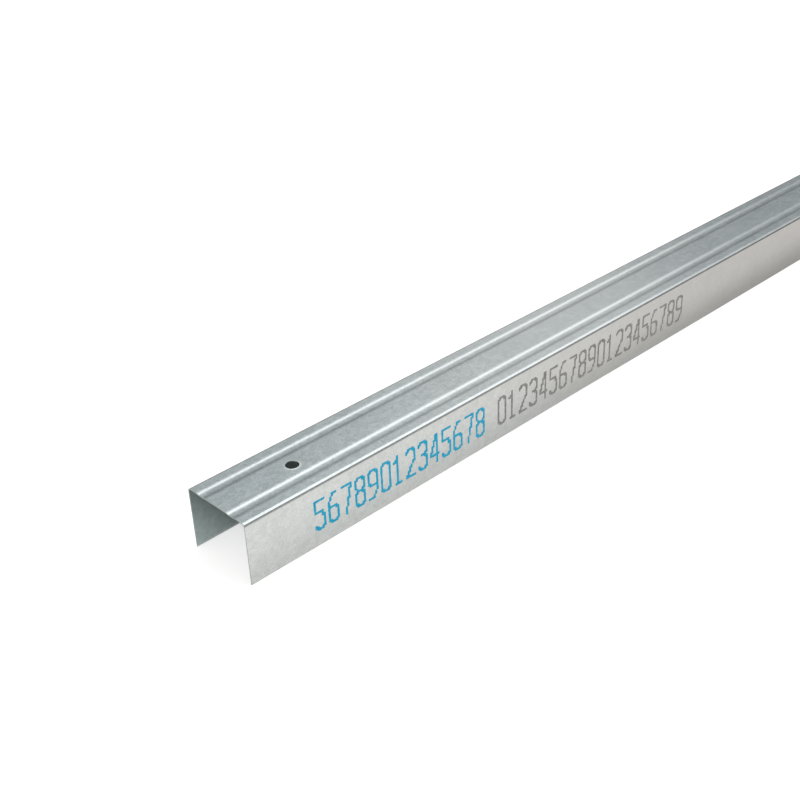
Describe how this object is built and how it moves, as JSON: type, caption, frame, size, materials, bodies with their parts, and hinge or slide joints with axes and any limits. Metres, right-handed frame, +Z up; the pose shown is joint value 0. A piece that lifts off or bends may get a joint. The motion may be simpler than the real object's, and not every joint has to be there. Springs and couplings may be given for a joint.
{
  "type": "drywall track",
  "caption": "Straight roll-formed U-shaped sheet steel track with two shallow grooves and a row of punched fixing holes in its web.",
  "frame": {"origin": "on the surface that the flange edges stand on, under the middle of the stock", "axes": "+X along the stock, +Y across it from one flange to the other, +Z up through the web's outer face"},
  "size_m": [3, 0.05, 0.04],
  "materials": {
    "galvanised_steel": "hot-dip galvanised sheet, semi-matt, fine spangle",
    "blue_ink": "ink-jet print, semi-matt",
    "grey_ink": "ink-jet print, semi-matt"
  },
  "bodies": {
    "root": {"track": "galvanised_steel"}
  },
  "joints": []
}
